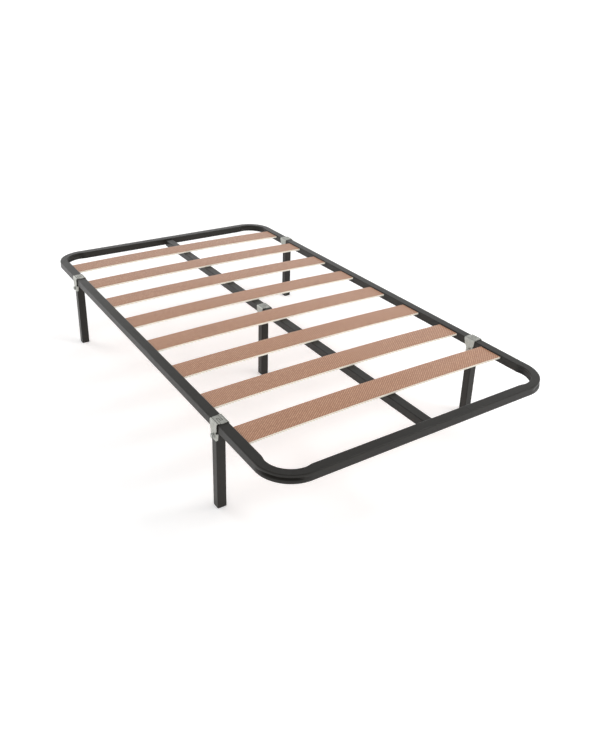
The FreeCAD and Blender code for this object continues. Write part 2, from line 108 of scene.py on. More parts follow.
SLAT_THICKNESS = 7 * MM
SLAT_EDGE_RADIUS = 1 * MM
SLAT_RINGS = 56
SLAT_EDGE_STEPS = 4
SLAT_FLAT_STEPS = 8
FILM_FACING = 0.8                   # faces that look up or down more than this carry the film
WEAVE_ANGLE = math.radians(51)
PLY_COUNT = 5
PLY_GROOVE = 0.15 * MM
SLOT_CLEARANCE = 0.15 * MM

# ---- clamps, in millimetres about the leg's axis, below the rail's top -------------------------

SHEET = 2.0
SHEET_EDGE = 0.35
OVER_RAIL = 0.4
FOLD_MIDDLE_RADIUS = 3.0
SADDLE_RUN = 22.2                   # from the tip of the hook to the start of the fold
OUTER_PLATE_X = -16.5               # middle of the sheet
INNER_PLATE_X = 22.5
OUTER_SADDLE_HALF = 21.5
INNER_SADDLE_HALF = 24.0
PLATE_HALF = 18.0
SHORT_SHOULDER = 6.0                # where each edge starts to narrow
LONG_SHOULDER = 19.0
SHOULDER_DROP = 7.0
SHOULDER_RADIUS = 2.5
SHOULDER_FOOT_RADIUS = 0.8
NOTCH_TOP = 26.0
NOTCH_BOTTOM = 32.0
NOTCH_HALF = 14.0
NOTCH_RADIUS = 1.2
NOTCH_FOOT_RADIUS = 0.4
LOBE_BOTTOM = 59.0
LOBE_CORNER = 4.5
LOBE_RIM_RADIUS = 3.0
LOBE_TIP_RADIUS = 3.5
FLANGE_RADIUS = 2.0
FLANGE_STRAIGHT = 5.0
FLANGE_SLOPE = 1.5                  # the rim's upper end is cut at a slant
OUTER_FLANGE_TOP = 31.5
FLANGE_TOP_RADIUS = 1.2
RELIEF = 1.6                        # height of the slit above each rim
RELIEF_EDGE_RADIUS = 0.5
RELIEF_RADIUS = 0.4
CLOSE_RELIEF_RADIUS = 0.3           # of the shorter slit below the notch
CREASE_OFFSET = 2.0                 # pressed line, from the start of the fold
CREASE_HALF = 1.0
CREASE_DEPTH = 0.5
SWAGE_DEPTH = 0.7                   # down the outer plate
SWAGE_Y = 1.0
RIB_DEPTH = 1.1                     # down the inner plate
RIB_PLACES = (-9.5, 0.0, 9.5)
HOOK_FINGER = 4.9                   # from the tip to the slit between the two hooks
HOOK_ROOT = 13.0
HOOK_SHORT = 5.5
HOOK_LONG = 7.5
HOOK_TIP_RADIUS = 0.8
HOOK_ROOT_RADIUS = 0.5
JOGGLE_START = 27.96
JOGGLE_RADIUS = 2.5
JOGGLE_SLOPE = 6.415
BOLT_DROP = 45.0
HOLE_RADIUS = 4.5
HOLE_SLOT = 2.0
HOLE_SEGMENTS = 32
CORNER_STEPS = 6
MESH_HALF = 40.0                    # cross lines of the sheet's mesh reach this far
MESH_MARGIN = 10.0                  # and its long lines this far past its ends
MESH_START = 1.3
MESH_MERGE = 0.12                   # cross lines closer than this become one

# ---- fasteners, in metres --------------------------------------------------------------------

HEX_FLATS = 13 * MM
HEX_CHAMFER = 0.96                  # share of the flats where the chamfer starts
HEAD_HEIGHT = 5.5 * MM
HEAD_STEP = 0.3 * MM                # washer face, and the fillet under it
BOLT_RADIUS = 4 * MM
THREAD_PITCH = 1.25 * MM
THREAD_DEPTH = 0.55 * MM
THREAD_START = 12 * MM              # inboard of the leg's axis
THREAD_STEPS = 8                    # rings to a turn
WASHER_BORE = 4.2 * MM
WASHER_EASE = 0.35 * MM
NUT_BORE = BOLT_RADIUS + 0.05 * MM
NUT_SINK = 0.5 * MM
HEX_SEGMENTS = 72


# ---- mesh helpers ----------------------------------------------------------------------------

def smoothstep(low, high, value):
    """0 below low, 1 above high, with an even curve between."""
    t = min(1.0, max(0.0, (value - low) / (high - low)))
    return t * t * (3.0 - 2.0 * t)


def spread(low, high, steps):
    """Evenly spaced values with both ends."""
    return [low + (high - low) * i / steps for i in range(steps + 1)]


def grid_faces(rings, around, closed_rings=False, closed_around=True):
    """Quads over a grid of vertices, row by row."""
    faces = []
    for i in range(rings if closed_rings else rings - 1):
        for j in range(around if closed_around else around - 1):
            a = i * around + j
            b = i * around + (j + 1) % around
            c = ((i + 1) % rings) * around + (j + 1) % around
            d = ((i + 1) % rings) * around + j
            faces.append((a, b, c, d))
    return faces


def add_piece(name, verts, faces, materials, body, nodes, sharp=35.0, pick=None):
    """A mesh piece that rides on a body and stands for its CAD nodes. pick chooses a face's material."""
    mesh = bpy.data.meshes.new(name)
    mesh.from_pydata([tuple(v) for v in verts], [], faces)
    work = bmesh.new()
    work.from_mesh(mesh)
    bmesh.ops.remove_doubles(work, verts=work.verts, dist=1e-7)
    bmesh.ops.recalc_face_normals(work, faces=work.faces)
    for face in work.faces:
        face.smooth = True
        if pick:
            face.material_index = pick(face)
    work.to_mesh(mesh)
    work.free()
    mesh.set_sharp_from_angle(angle=math.radians(sharp))
    for material in materials:
        mesh.materials.append(material)
    piece = bpy.data.objects.new(name, mesh)
    bpy.context.scene.collection.objects.link(piece)
    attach(piece, body)
    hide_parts(*nodes)
    return piece


# ---- materials -------------------------------------------------------------------------------

def srgb(red, green, blue):
    """Linear colour from 0-255 display values."""
    def linear(value):
        share = value / 255.0
        return share / 12.92 if share <= 0.04045 else ((share + 0.055) / 1.055) ** 2.4
    return (linear(red), linear(green), linear(blue), 1.0)


class Surface:
    """A node material with a Principled shader and short calls for its textures."""

    def __init__(self, name, specular, metallic=0.0):
        self.material = bpy.data.materials.new(name)
        self.material.use_nodes = True
        self.tree = self.material.node_tree
        self.tree.nodes.clear()
        output = self.tree.nodes.new("ShaderNodeOutputMaterial")
        self.shader = self.tree.nodes.new("ShaderNodeBsdfPrincipled")
        self.tree.links.new(self.shader.outputs["BSDF"], output.inputs["Surface"])
        self.shader.inputs["Metallic"].default_value = metallic
        self.shader.inputs["Specular IOR Level"].default_value = specular
        self.place = self.node("ShaderNodeTexCoord").outputs["Object"]

    def node(self, kind, inputs=(), **settings):
        """A node with its settings made and its inputs set or linked."""
        made = self.tree.nodes.new(kind)
        for key, value in settings.items():
            setattr(made, key, value)
        for key, value in dict(inputs).items():
            self.feed(made.inputs[key], value)
        return made

    def feed(self, socket, value):
        """Sets a socket's value, or links another node's output to it."""
        if isinstance(value, bpy.types.NodeSocket):
            self.tree.links.new(value, socket)
        else:
            socket.default_value = value

    def stretched(self, x, y, z, turn=0.0):
        """Object coordinates scaled along each axis, turned about Z first."""
        inputs = {"Vector": self.place, "Rotation": (0, 0, turn), "Scale": (x, y, z)}
        return self.node("ShaderNodeMapping", inputs).outputs["Vector"]

    def noise(self, scale, detail=2.0, vector=None, rough=0.5):
        """Noise from 0 to 1."""
        inputs = {"Vector": vector or self.place, "Scale": scale, "Detail": detail,
                  "Roughness": rough}
        return self.node("ShaderNodeTexNoise", inputs).outputs["Fac"]

    def cells(self, scale):
        """Voronoi cells, each of one random colour."""
        inputs = {"Vector": self.place, "Scale": scale}
        return self.node("ShaderNodeTexVoronoi", inputs).outputs["Color"]

    def bands(self, scale, vector, distortion):
        """Soft bands across X, slightly wavy."""
        inputs = {"Vector": vector, "Scale": scale, "Distortion": distortion}
        return self.node("ShaderNodeTexWave", inputs).outputs["Fac"]

    def math(self, operation, a, b=0.0):
        """One arithmetic step."""
        made = self.node("ShaderNodeMath", operation=operation)
        self.feed(made.inputs[0], a)
        self.feed(made.inputs[1], b)
        return made.outputs[0]

    def remap(self, value, low, high, from_low=0.0, from_high=1.0):
        """Maps one range of values to another."""
        inputs = {"Value": value, "From Min": from_low, "From Max": from_high,
                  "To Min": low, "To Max": high}
        return self.node("ShaderNodeMapRange", inputs).outputs["Result"]

    def blend(self, factor, first, second):
        """Mixes two colours."""
        made = self.node("ShaderNodeMix", data_type="RGBA")
        self.feed(made.inputs[0], factor)
        self.feed(made.inputs[6], first)
        self.feed(made.inputs[7], second)
        return made.outputs[2]

    def finish(self, colour, height, distance, strength, roughness):
        """Links colour, bump height and roughness to the shader, and gives the material."""
        self.feed(self.shader.inputs["Base Color"], colour)
        self.feed(self.shader.inputs["Roughness"], roughness)
        bump = self.node("ShaderNodeBump", {"Strength": strength, "Distance": distance,
                                            "Height": height})
        self.feed(self.shader.inputs["Normal"], bump.outputs["Normal"])
        return self.material


def powder_coat():
    """Dark warm grey powder coat: orange peel, slight cloudiness and a few pale specks."""
    s = Surface("powder_coat", specular=0.27)
    cloud = s.noise(7.0, 4.0)
    colour = s.blend(cloud, srgb(27, 25, 22), srgb(36, 34, 30))
    speck = s.remap(s.noise(1400.0, 1.0), 0.0, 0.25, 0.62, 0.75)
    colour = s.blend(speck, colour, srgb(84, 81, 77))
    peel = s.noise(620.0, 2.0)
    grain = s.noise(2600.0, 1.0)
    height = s.math("ADD", peel, s.math("MULTIPLY", grain, 0.35))
    roughness = s.remap(s.noise(35.0, 3.0), 0.30, 0.42)
    return s.finish(colour, height, 0.00012, 0.55, roughness)


def weld_coat():
    """Coated weld bead: the same coat, darker and rougher over the bead's ripples."""
    s = Surface("weld_coat", specular=0.4)
    colour = s.blend(s.noise(300.0, 3.0), srgb(22, 21, 20), srgb(40, 38, 36))
    roughness = s.remap(s.noise(500.0, 2.0), 0.5, 0.75)
    return s.finish(colour, s.noise(900.0, 3.0), 0.00015, 0.7, roughness)


def slat_film():
    """Terracotta film with a diagonal weave of pale threads over faint wood streaks."""
    s = Surface("slat_film", specular=0.55)
    streak = s.noise(1.0, 4.0, s.stretched(6.0, 120.0, 60.0), 0.55)
    base = s.blend(s.remap(streak, 0.2, 0.8, 0.3, 0.7), srgb(150, 99, 70), srgb(168, 116, 85))
    first = s.bands(1.0, s.stretched(51.0, 51.0, 51.0, WEAVE_ANGLE), 0.3)
    second = s.bands(1.0, s.stretched(51.0, 51.0, 51.0, -WEAVE_ANGLE), 0.3)
    dots = s.math("MULTIPLY", first, second)
    threads = s.math("ADD", s.math("MULTIPLY", first, 0.5), s.math("MULTIPLY", dots, 0.5))
    fleck = s.math("MULTIPLY", threads, s.remap(s.noise(150.0, 2.0), 0.5, 1.0, 0.35, 0.65))
    base = s.blend(s.remap(fleck, 0.0, 0.85, 0.15, 0.8), base, srgb(224, 184, 152))
    pores = s.noise(1.0, 2.0, s.stretched(110.0, 900.0, 300.0))
    base = s.blend(s.remap(pores, 0.0, 0.3, 0.56, 0.72), base, srgb(116, 75, 55))
    cloud = s.noise(3.0, 2.0)
    base = s.blend(s.remap(cloud, 0.0, 0.2, 0.4, 0.7), base, srgb(182, 142, 119))
    height = s.math("ADD", threads, s.math("MULTIPLY", pores, 0.5))
    roughness = s.remap(fleck, 0.42, 0.30)
    return s.finish(base, height, 0.00010, 0.7, roughness)


def ply_edge(name, low, high):
    """Bare birch ply with end grain."""
    s = Surface(name, specular=0.35)
    grain = s.noise(1.0, 4.0, s.stretched(30.0, 400.0, 1800.0), 0.6)
    colour = s.blend(grain, low, high)
    fibres = s.noise(1.0, 3.0, s.stretched(220.0, 1500.0, 2600.0))
    colour = s.blend(s.remap(fibres, 0.0, 0.3, 0.55, 0.8), colour, srgb(205, 192, 166))
    return s.finish(colour, fibres, 0.00008, 0.5, s.remap(grain, 0.5, 0.68))


def zinc(name, low, high, cell_scale, roughness_range):
    """Bright zinc plate: faint crystals, drawing lines, a grey-green bloom and small pits."""
    s = Surface(name, specular=0.5, metallic=0.65)
    crystal = s.cells(cell_scale)
    shade = s.math("MULTIPLY", s.noise(60.0, 4.0), 0.55)
    shade = s.math("ADD", shade, s.math("MULTIPLY", crystal, 0.4))
    colour = s.blend(shade, low, high)
    bloom = s.remap(s.noise(130.0, 4.0), 0.0, 0.6, 0.5, 0.75)
    colour = s.blend(bloom, colour, srgb(150, 151, 144))
    lines = s.noise(1.0, 2.0, s.stretched(1400.0, 90.0, 160.0))
    height = s.math("ADD", s.noise(900.0, 3.0), s.math("MULTIPLY", lines, 0.7))
    roughness = s.remap(s.noise(220.0, 3.0), *roughness_range)
    return s.finish(colour, height, 0.00005, 0.5, roughness)


def painted_shade_line():
    """Zinc darkened in the line pressed beside each fold: painted shade in the crease."""
    s = Surface("painted_shade_line", specular=0.3, metallic=0.3)
    colour = s.blend(s.noise(300.0, 3.0), srgb(38, 38, 35), srgb(66, 66, 61))
    return s.finish(colour, s.noise(900.0, 3.0), 0.00005, 0.5, s.remap(s.noise(220.0), 0.5, 0.7))


def plastic(name, low, high):
    """Moulded black plastic with a spark-eroded grain."""
    s = Surface(name, specular=0.4)
    colour = s.blend(s.noise(25.0, 3.0), low, high)
    grain = s.noise(2200.0, 2.0)
    roughness = s.remap(s.noise(150.0, 2.0), 0.45, 0.62)
    return s.finish(colour, grain, 0.00008, 0.5, roughness)


def floor_paint():
    """Pale studio floor with a barely visible tooth."""
    s = Surface("floor_paint", specular=0.2)
    s.shader.inputs["Emission Color"].default_value = (1.0, 1.0, 1.0, 1.0)
    # The floor glows of itself, 0.36 near the middle rising to 0.6 far off: painted light that keeps its
    # shadows pale and the far floor white.
    distance = s.node("ShaderNodeVectorMath", {0: s.place}, operation="LENGTH").outputs["Value"]
    s.feed(s.shader.inputs["Emission Strength"], s.remap(distance, 0.36, 0.6, 2.0, 6.0))
    colour = s.blend(s.noise(40.0, 3.0), (0.90, 0.90, 0.90, 1.0), (0.93, 0.93, 0.93, 1.0))
    return s.finish(colour, s.noise(400.0, 2.0), 0.0001, 0.1, s.remap(s.noise(12.0), 0.7, 0.85))


# ---- perimeter tube --------------------------------------------------------------------------

def slot_levels():
    """Lower and upper limit of the slat slots, above the rail's middle."""
    low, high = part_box("slat_sleeves_1")
    return low.z - SLOT_CLEARANCE - RAIL_MIDDLE, min(high.z + SLOT_CLEARANCE - RAIL_MIDDLE, FLAT_HALF)


def slot_spans():
    """Y limits of each pair of slots."""
    spans = []
    for number in range(1, SLAT_COUNT + 1):
        low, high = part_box("slat_sleeves_%d" % number)
        spans.append((low.y - SLOT_CLEARANCE, high.y + SLOT_CLEARANCE))
    return spans


def wall_levels():
    """Heights of the section's points on both walls, with the slots' limits among them."""
    low = slot_levels()[0]
    return spread(-FLAT_HALF, low, WALL_STEPS) + spread(low, FLAT_HALF, WALL_STEPS)[1:]


def section_points(inset):
    """(depth inwards from the outer wall, height) round the rail, always the same number."""
    levels = wall_levels()
    depths = spread(RAIL_EDGE_RADIUS, RAIL_WIDTH - RAIL_EDGE_RADIUS, TOP_STEPS)
    radius = RAIL_EDGE_RADIUS - inset

    def corner(depth, level, start):
        made = []
        for step in range(1, EDGE_STEPS):
            angle = math.radians(start - 90.0 * step / EDGE_STEPS)
            made.append((depth + radius * math.cos(angle), level + radius * math.sin(angle)))
        return made

    points = [(inset, level) for level in levels]
    points += corner(depths[0], FLAT_HALF, 180.0)
    points += [(depth, RAIL_HEIGHT / 2 - inset) for depth in depths]
    points += corner(depths[-1], FLAT_HALF, 90.0)
    points += [(RAIL_WIDTH - inset, level) for level in reversed(levels)]
    points += corner(depths[-1], -FLAT_HALF, 0.0)
    points += [(depth, -RAIL_HEIGHT / 2 + inset) for depth in reversed(depths)]
    points += corner(depths[0], -FLAT_HALF, -90.0)
    return points


def bend_shift(depth, level, into_bend):
    """How far inwards a point is moved where bending folds one wall and presses the other."""
    near_outer = 1.0 - smoothstep(0.0, GROOVE_REACH, depth)
    fold = GROOVE_DEPTH * math.exp(-((level - GROOVE_LEVEL) / GROOVE_SPREAD) ** 2)
    lip = LIP_DEPTH * smoothstep(GROOVE_LEVEL, FLAT_HALF, level)
    shift = (fold + lip) * near_outer * smoothstep(0.0, GROOVE_FADE, into_bend)
    start = DENT_START + DENT_CRESCENT * (level / FLAT_HALF) ** 2
    near_inner = smoothstep(RAIL_WIDTH - DENT_REACH, RAIL_WIDTH, depth)
    recess = DENT_DEPTH * math.exp(-(level / DENT_SPREAD) ** 4)
    press = recess * smoothstep(start, start + DENT_RAMP, into_bend)
    press += INNER_EDGE_SHIFT * smoothstep(INNER_EDGE_START, INNER_EDGE_START + INNER_EDGE_RAMP,
                                           into_bend)
    return shift - press * near_inner


def side_stations(half, spans):
    """Positions of the rings along one straight side, from -half to half."""
    stations = set(spread(-half, half, SIDE_STEPS))
    for offset in spread(0.0, BEND_LEAD, LEAD_STEPS):
        stations |= {half - offset, offset - half}
    if spans:
        stations = {s for s in stations if not any(a - MM < s < b + MM for a, b in spans)}
        for low, high in spans:
            stations |= set(spread(low, high, SLOT_STEPS))
    return sorted(stations)


def perimeter_rings():
    """(outer point, outward direction, distance into the bend, whether a slot follows)."""
    rings = []
    half_x = TUBE_HIGH.x - BEND_RADIUS
    half_y = TUBE_HIGH.y - BEND_RADIUS
    middle_radius = BEND_RADIUS - RAIL_WIDTH / 2
    sides = [((1, 0), half_y, TUBE_HIGH.x, 1), ((0, 1), half_x, TUBE_HIGH.y, 0),
             ((-1, 0), half_y, TUBE_HIGH.x, -1), ((0, -1), half_x, TUBE_HIGH.y, 0)]
    for normal, half, reach, slotted in sides:
        out = Vector((normal[0], normal[1], 0.0))
        along = Vector((-normal[1], normal[0], 0.0))
        spans = [tuple(sorted((low * slotted, high * slotted))) for low, high in slot_spans()]
        spans = spans if slotted else []
        for station in side_stations(half, spans):
            in_slot = any(low - TOUCH < station < high - TOUCH for low, high in spans)
            rings.append((out * reach + along * station, out, abs(station) - half, in_slot))
        centre = out * (reach - BEND_RADIUS) + along * half
        for step in range(1, BEND_STEPS):
            angle = math.radians(90.0 * step / BEND_STEPS)
            direction = out * math.cos(angle) + along * math.sin(angle)
            arc = middle_radius * min(angle, math.pi / 2 - angle)
            rings.append((centre + direction * BEND_RADIUS, direction, arc, False))
    return rings


def perimeter_tube(material):
    """Bent tube with its inner wall, its slots, the folds of its bends and the die's recesses."""
    rings = perimeter_rings()
    outside = section_points(0.0)
    inside = section_points(RAIL_WALL)
    count = len(outside)
    shell = len(rings) * count
    verts = []
    for points in (outside, inside):
        for origin, direction, into_bend, _ in rings:
            for (depth, level), (base_depth, base_level) in zip(points, outside):
                moved = depth + bend_shift(base_depth, base_level, into_bend)
                verts.append(origin - direction * moved + Vector((0, 0, RAIL_MIDDLE + level)))
    slot_low, slot_high = slot_levels()

    def open_cell(i, j):
        (depth, level), (_, following) = outside[j], outside[(j + 1) % count]
        middle = (level + following) / 2
        return rings[i][3] and depth > RAIL_WIDTH - TOUCH and slot_low < middle < slot_high

    cells = {(i, j) for i in range(len(rings)) for j in range(count)}
    openings = {cell for cell in cells if open_cell(*cell)}
    faces = []
    for i, j in sorted(cells - openings):
        after, beside = (i + 1) % len(rings), (j + 1) % count
        quad = (i * count + j, i * count + beside, after * count + beside, after * count + j)
        faces.append(quad)
        faces.append(tuple(shell + v for v in reversed(quad)))
    for i, j in sorted(openings):
        after, beside = (i + 1) % len(rings), (j + 1) % count
        rims = {((i - 1) % len(rings), j): (i * count + j, i * count + beside),
                (after, j): (after * count + j, after * count + beside),
                (i, (j - 1) % count): (i * count + j, after * count + j),
                (i, beside): (i * count + beside, after * count + beside)}
        for neighbour, (a, b) in rims.items():
            if neighbour not in openings:
                faces.append((a, b, shell + b, shell + a))
    add_piece("perimeter_tube_formed", verts, faces, [material], "frame",
              ["perimeter_tube"])


def perimeter_weld(material):
    """Low rippled bead round the tube's butt joint."""
    low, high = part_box("perimeter_weld")
    middle = (low.x + high.x) / 2
    half = (high.x - low.x) / 2
    rise = high.z - TUBE_HIGH.z
    section = section_points(0.0)
    verts = []
    for index, (depth, level) in enumerate(section):
        out = Vector((RAIL_WIDTH / 2 - depth, level)).normalized()
        ripple = 0.75 + 0.25 * math.cos(math.pi * index)
        for step in range(WELD_ACROSS + 1):
            share = 2.0 * step / WELD_ACROSS - 1.0
            lift = rise * (1.0 - share ** 2) * ripple
            verts.append((middle + half * share, -TUBE_HIGH.y + depth - out.x * lift,
                          RAIL_MIDDLE + level + out.y * lift))
        verts.append((middle, -TUBE_HIGH.y + depth + out.x * rise, RAIL_MIDDLE + level - out.y * rise))
    faces = grid_faces(len(section), WELD_ACROSS + 2, closed_rings=True)
    add_piece("perimeter_weld_bead", verts, faces, [material], "frame",
              ["perimeter_weld"], sharp=60.0)


def bar_weld(end, material):
    """Rippled fillets on both sides of the centre bar, at its foot end (-1) or head end (1)."""
    node = "bar_weld_foot" if end < 0 else "bar_weld_head"
    low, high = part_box(node)
    leg = BAR_LOW.x - low.x
    corner_y = high.y if end > 0 else low.y
    verts = []
    faces = []
    for side, face_x in ((-1, BAR_LOW.x), (1, BAR_HIGH.x)):
        start = len(verts)
        for level in spread(low.z, high.z, WELD_RINGS - 1):
            ends = min(level - low.z, high.z - level)
            size = leg * smoothstep(-leg, leg, ends) * (0.93 + 0.07 * math.sin(level / WELD_RIPPLE))
            verts.append((face_x, corner_y, level))
            for step in range(WELD_ARC):
                angle = math.pi / 2 * step / (WELD_ARC - 1)
                bulge = size * (0.78 + 0.22 * abs(math.cos(2 * angle)))
                verts.append((face_x + side * bulge * math.cos(angle),
                              corner_y - end * bulge * math.sin(angle), level))
        faces += [tuple(start + v for v in face) for face in grid_faces(WELD_RINGS, WELD_ARC + 1)]
        last = start + (WELD_RINGS - 1) * (WELD_ARC + 1)
        faces.append(tuple(range(start, start + WELD_ARC + 1)))
        faces.append(tuple(range(last, last + WELD_ARC + 1)))
    add_piece(node + "_beads", verts, faces, [material], "frame", [node], sharp=60.0)


# ---- slats -----------------------------------------------------------------------------------

def slat_section(half_width):
    """(y, depth below the top) round a slat: eased edges, and a fine groove at each glue line."""
    radius = SLAT_EDGE_RADIUS
    ply = SLAT_THICKNESS / PLY_COUNT
    edge = []
    for step in range(SLAT_EDGE_STEPS + 1):
        angle = math.pi / 2 * step / SLAT_EDGE_STEPS
        edge.append((half_width - radius + radius * math.sin(angle), radius - radius * math.cos(angle)))
    for joint in range(1, PLY_COUNT):
        depth = ply * joint
        edge.append((half_width, depth - PLY_GROOVE))
        edge.append((half_width - PLY_GROOVE, depth))
        edge.append((half_width, depth + PLY_GROOVE))
    for step in range(SLAT_EDGE_STEPS + 1):
        angle = math.pi / 2 * step / SLAT_EDGE_STEPS
        edge.append((half_width - radius + radius * math.cos(angle),
                     SLAT_THICKNESS - radius + radius * math.sin(angle)))
    flat = spread(-half_width + radius, half_width - radius, SLAT_FLAT_STEPS)[1:-1]
    far_edge = [(-y, depth) for y, depth in reversed(edge)]
    return edge + [(y, SLAT_THICKNESS) for y in reversed(flat)] + far_edge + [(y, 0.0) for y in flat]


def slat(number, film, plies):
    """Bowed plywood slat: film above and below, bare plies of two shades on its edges and ends."""
    node = "slat_%d" % number
    low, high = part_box(node)
    half = high.x
    bow = high.z - low.z - SLAT_THICKNESS
    arc_radius = (half ** 2 + bow ** 2) / (2.0 * bow)
    centre_z = high.z - arc_radius
    sweep = math.asin(half / arc_radius)
    middle = (low.y + high.y) / 2
    section = slat_section((high.y - low.y) / 2)
    verts = []
    for angle in spread(-sweep, sweep, SLAT_RINGS):
        for y, depth in section:
            radius = arc_radius - depth
            verts.append((radius * math.sin(angle), middle + y, centre_z + radius * math.cos(angle)))
    count = len(section)
    faces = grid_faces(SLAT_RINGS + 1, count)
    last = SLAT_RINGS * count
    faces.append(tuple(range(count)))
    faces.append(tuple(range(last, last + count)))

    def shade(face):
        if abs(face.normal.z) > FILM_FACING:
            return 0
        place = face.calc_center_median()
        depth = arc_radius - math.hypot(place.x, place.z - centre_z)
        return 1 + int(depth / SLAT_THICKNESS * PLY_COUNT) % 2

    add_piece(node + "_board", verts, faces, [film] + plies, "frame", [node],
              pick=shade)


# ---- clamps ----------------------------------------------------------------------------------

def rounded_outline(points, radii):
    """Closed outline with each corner rounded by its own radius."""
    outline = []
    for i, (x, y) in enumerate(points):
        here = Vector((x, y))
        before = (Vector(points[i - 1]) - here).normalized()
        after = (Vector(points[(i + 1) % len(points)]) - here).normalized()
        half_angle = before.angle(after) / 2.0
        reach = radii[i] / math.tan(half_angle)
        centre = here + (before + after).normalized() * (radii[i] / math.sin(half_angle))
        start = here + before * reach - centre
        end = here + after * reach - centre
        for step in range(CORNER_STEPS + 1):
            outline.append(centre + start.slerp(end, step / CORNER_STEPS))
    return outline


def inside_outline(point, outline):
    """Whether a point lies inside a closed outline."""
    inside = False
    for a, b in zip(outline, outline[1:] + outline[:1]):
        if (a.y > point.y) != (b.y > point.y):
            crossing = a.x + (point.y - a.y) * (b.x - a.x) / (b.y - a.y)
            if point.x < crossing:
                inside = not inside
    return inside


class Profile:
    """Side view of a jaw's sheet, as lines and arcs run from the hook's tip down to the lobe."""

    def __init__(self, x, z, moves):
        self.moves = moves
        self.start = (x, z)

    def at(self, run):
        """(x, z, inward x, inward z) at a distance along the sheet."""
        x, z = self.start
        heading = math.pi
        for length, radius, turn in self.moves:
            share = min(run, length)
            if radius:
                angle = turn * share / radius
                x += turn * radius * (math.sin(heading + angle) - math.sin(heading))
                z -= turn * radius * (math.cos(heading + angle) - math.cos(heading))
                heading += angle
            else:
                x += share * math.cos(heading)
                z += share * math.sin(heading)
            run -= share
            if run <= 0:
                break
        return x, z, -math.sin(heading), math.cos(heading)

    def breaks(self):
        """Distances at which the mesh has a line: each move's ends, and steps round the arcs."""
        found = []
        run = 0.0
        for length, radius, _ in self.moves:
            found += spread(run, run + length, 8 if radius else 1)
            run += length
        return found


FOLD_RUN = FOLD_MIDDLE_RADIUS * math.pi / 2
PLATE_START = FOLD_MIDDLE_RADIUS - SHEET / 2 - OVER_RAIL
JOGGLE_ARC = JOGGLE_RADIUS * math.pi / 4
JOGGLE_HEIGHT = 2 * JOGGLE_RADIUS * math.sin(math.pi / 4) + JOGGLE_SLOPE * math.cos(math.pi / 4)
JOGGLE_EXTRA = 2 * JOGGLE_ARC + JOGGLE_SLOPE - JOGGLE_HEIGHT
SADDLE_Z = OVER_RAIL + SHEET / 2
FLAT_LOBE_HALF = PLATE_HALF - SHEET / 2 - FLANGE_RADIUS


def outer_profile():
    """Saddle, fold and straight plate."""
    moves = [(SADDLE_RUN, 0.0, 0), (FOLD_RUN, FOLD_MIDDLE_RADIUS, 1),
             (LOBE_BOTTOM - PLATE_START, 0.0, 0)]
    return Profile(OUTER_PLATE_X + FOLD_MIDDLE_RADIUS + SADDLE_RUN, SADDLE_Z, moves)


def inner_profile():
    """The same with a joggle from the rail's side to the leg's side; drawn mirrored in X."""
    moves = [(SADDLE_RUN, 0.0, 0), (FOLD_RUN, FOLD_MIDDLE_RADIUS, 1),
             (JOGGLE_START - PLATE_START, 0.0, 0), (JOGGLE_ARC, JOGGLE_RADIUS, 1),
             (JOGGLE_SLOPE, 0.0, 0), (JOGGLE_ARC, JOGGLE_RADIUS, -1),
             (LOBE_BOTTOM - JOGGLE_START - JOGGLE_HEIGHT, 0.0, 0)]
    return Profile(-INNER_PLATE_X + FOLD_MIDDLE_RADIUS + SADDLE_RUN, SADDLE_Z, moves)


def run_at(depth, extra=0.0):
    """Distance along the sheet at a depth below the rail's top."""
    return SADDLE_RUN + FOLD_RUN + depth - PLATE_START + extra


def jaw_outline(extra, flange_top, saddle, hand):
    """Flat pattern of a jaw: hooked end, shoulders, one notched side and the lobe with its rims."""
    rim_half = FLAT_LOBE_HALF + FLANGE_RADIUS * math.pi / 2 + FLANGE_STRAIGHT
    low = run_at(LOBE_BOTTOM, extra)
    rim_top = max(flange_top, run_at(NOTCH_BOTTOM) + RELIEF / 2)
    lobe = [(low - LOBE_CORNER, rim_half, LOBE_RIM_RADIUS), (low, FLAT_LOBE_HALF, LOBE_TIP_RADIUS)]
    plain = [(run_at(LONG_SHOULDER), saddle, SHOULDER_RADIUS),
             (run_at(LONG_SHOULDER + SHOULDER_DROP), PLATE_HALF, SHOULDER_FOOT_RADIUS),
             (flange_top - RELIEF, PLATE_HALF, RELIEF_EDGE_RADIUS),
             (flange_top - RELIEF, FLAT_LOBE_HALF, RELIEF_RADIUS),
             (flange_top, FLAT_LOBE_HALF, RELIEF_RADIUS),
             (flange_top + FLANGE_SLOPE, rim_half, FLANGE_TOP_RADIUS)] + lobe
    notched = [(run_at(SHORT_SHOULDER), saddle, SHOULDER_RADIUS),
               (run_at(SHORT_SHOULDER + SHOULDER_DROP), PLATE_HALF, SHOULDER_RADIUS),
               (run_at(NOTCH_TOP), PLATE_HALF, NOTCH_RADIUS),
               (run_at(NOTCH_TOP), NOTCH_HALF, NOTCH_RADIUS),
               (run_at(NOTCH_BOTTOM), NOTCH_HALF, NOTCH_FOOT_RADIUS),
               (run_at(NOTCH_BOTTOM), FLAT_LOBE_HALF, CLOSE_RELIEF_RADIUS),
               (rim_top, FLAT_LOBE_HALF, CLOSE_RELIEF_RADIUS),
               (rim_top + FLANGE_SLOPE, rim_half, FLANGE_TOP_RADIUS)] + lobe
    upper, lower = (plain, notched) if hand > 0 else (notched, plain)
    hook = [(0.0, saddle, HOOK_TIP_RADIUS), (0.0, -HOOK_SHORT, HOOK_TIP_RADIUS),
            (HOOK_FINGER, -HOOK_SHORT, HOOK_TIP_RADIUS), (HOOK_FINGER, HOOK_LONG, HOOK_ROOT_RADIUS),
            (HOOK_ROOT, HOOK_LONG, HOOK_ROOT_RADIUS), (HOOK_ROOT, -saddle, HOOK_TIP_RADIUS)]
    corners = hook + [(run, -y, radius) for run, y, radius in lower] + upper[::-1]
    return rounded_outline([corner[:2] for corner in corners], [corner[2] for corner in corners])


